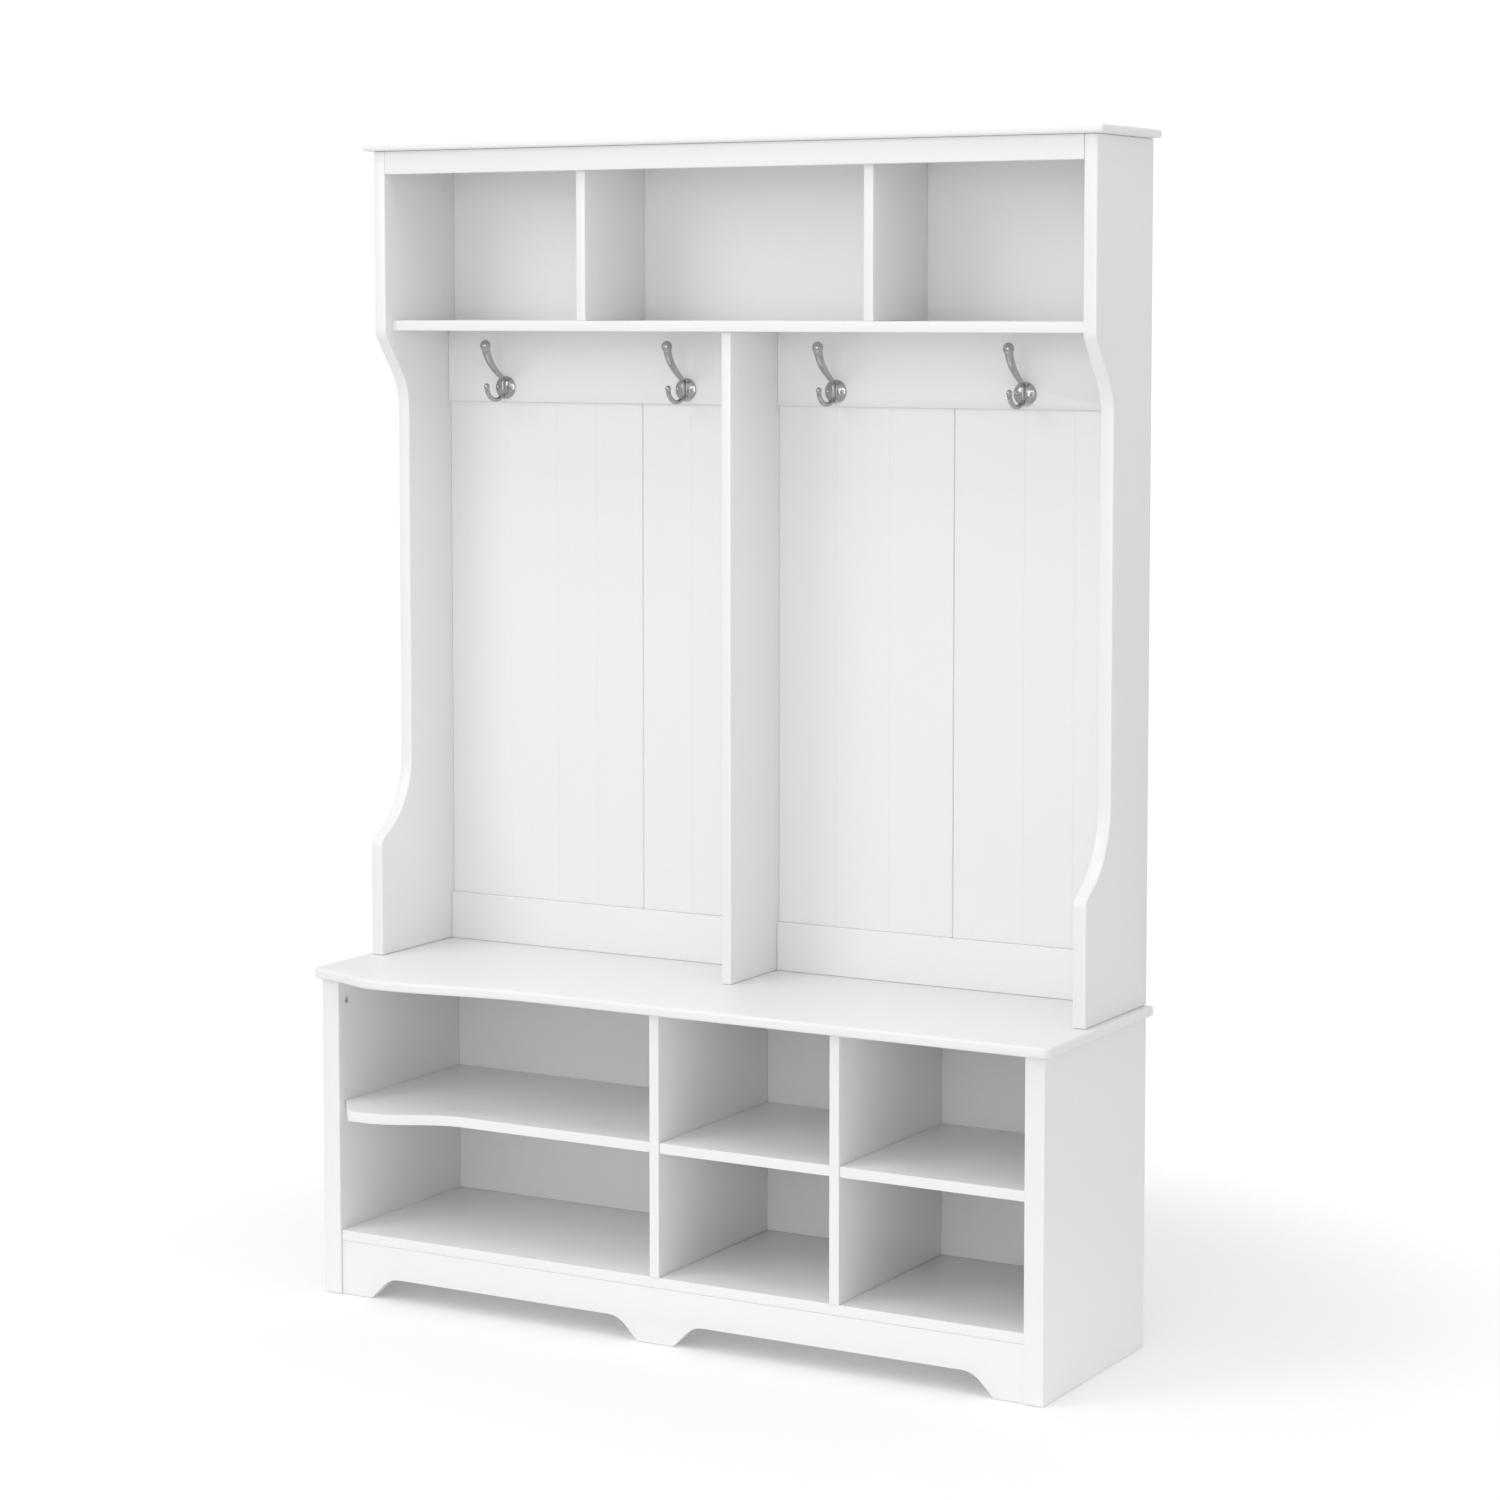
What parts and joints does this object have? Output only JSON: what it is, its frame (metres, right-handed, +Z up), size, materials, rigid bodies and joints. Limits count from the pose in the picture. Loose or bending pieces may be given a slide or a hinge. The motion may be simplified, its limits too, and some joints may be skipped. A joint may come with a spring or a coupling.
{
  "type": "hall tree with hooks",
  "caption": "White hall tree: open shoe-storage bench with a serpentine-fronted seat, and a beadboard hutch above it with double coat hooks and open cubbies.",
  "frame": {"origin": "on the floor, under the middle of the whole object's bounding box", "axes": "+X to the viewer's right along the width, -Y towards the front, +Z up"},
  "size_m": [1.226, 0.3886, 1.738],
  "materials": {
    "painted_board": "satin white lacquer on fibreboard",
    "satin_nickel": "satin nickel plated casting",
    "cam_zinc": "plain die-cast zinc",
    "nylon": "moulded nylon"
  },
  "bodies": {
    "root": {"bench_side_left": "painted_board", "bench_side_right": "painted_board", "bench_bottom_board": "painted_board", "bench_apron": "painted_board", "bench_rear_plinth_rail": "painted_board", "bench_plinth_brace": "painted_board", "bench_back_panel": "painted_board", "bench_divider_left": "painted_board", "bench_divider_right": "painted_board", "bench_shelf_wide": "painted_board", "bench_shelf_middle": "painted_board", "bench_shelf_right": "painted_board", "bench_top": "painted_board", "hutch_side_left": "painted_board", "hutch_side_right": "painted_board", "hutch_centre_divider": "painted_board", "cubby_divider_left": "painted_board", "cubby_divider_right": "painted_board", "cubby_shelf": "painted_board", "cubby_back_panel": "painted_board", "crown_rail": "painted_board", "crown_board": "painted_board", "beadboard_left_1": "painted_board", "beadboard_left_2": "painted_board", "beadboard_right_1": "painted_board", "beadboard_right_2": "painted_board", "hook_rail_left": "painted_board", "hook_rail_right": "painted_board", "lower_rail_left": "painted_board", "lower_rail_right": "painted_board", "coat_hook_left_1": "satin_nickel", "hook_screw_left_1_left": "satin_nickel", "hook_screw_left_1_right": "satin_nickel", "coat_hook_left_2": "satin_nickel", "hook_screw_left_2_left": "satin_nickel", "hook_screw_left_2_right": "satin_nickel", "coat_hook_right_1": "satin_nickel", "hook_screw_right_1_left": "satin_nickel", "hook_screw_right_1_right": "satin_nickel", "coat_hook_right_2": "satin_nickel", "hook_screw_right_2_left": "satin_nickel", "hook_screw_right_2_right": "satin_nickel", "cam_lock_side_left_1": "cam_zinc", "cam_lock_side_left_2": "cam_zinc", "cam_lock_side_right_1": "cam_zinc", "cam_lock_side_right_2": "cam_zinc", "cam_lock_divider_left_1": "cam_zinc", "cam_lock_divider_left_2": "cam_zinc", "cam_lock_divider_right_1": "cam_zinc", "cam_lock_divider_right_2": "cam_zinc", "floor_glide_left_front": "nylon", "floor_glide_left_back": "nylon", "floor_glide_right_front": "nylon", "floor_glide_right_back": "nylon", "floor_glide_centre_front": "nylon", "floor_glide_centre_back": "nylon"}
  },
  "joints": []
}
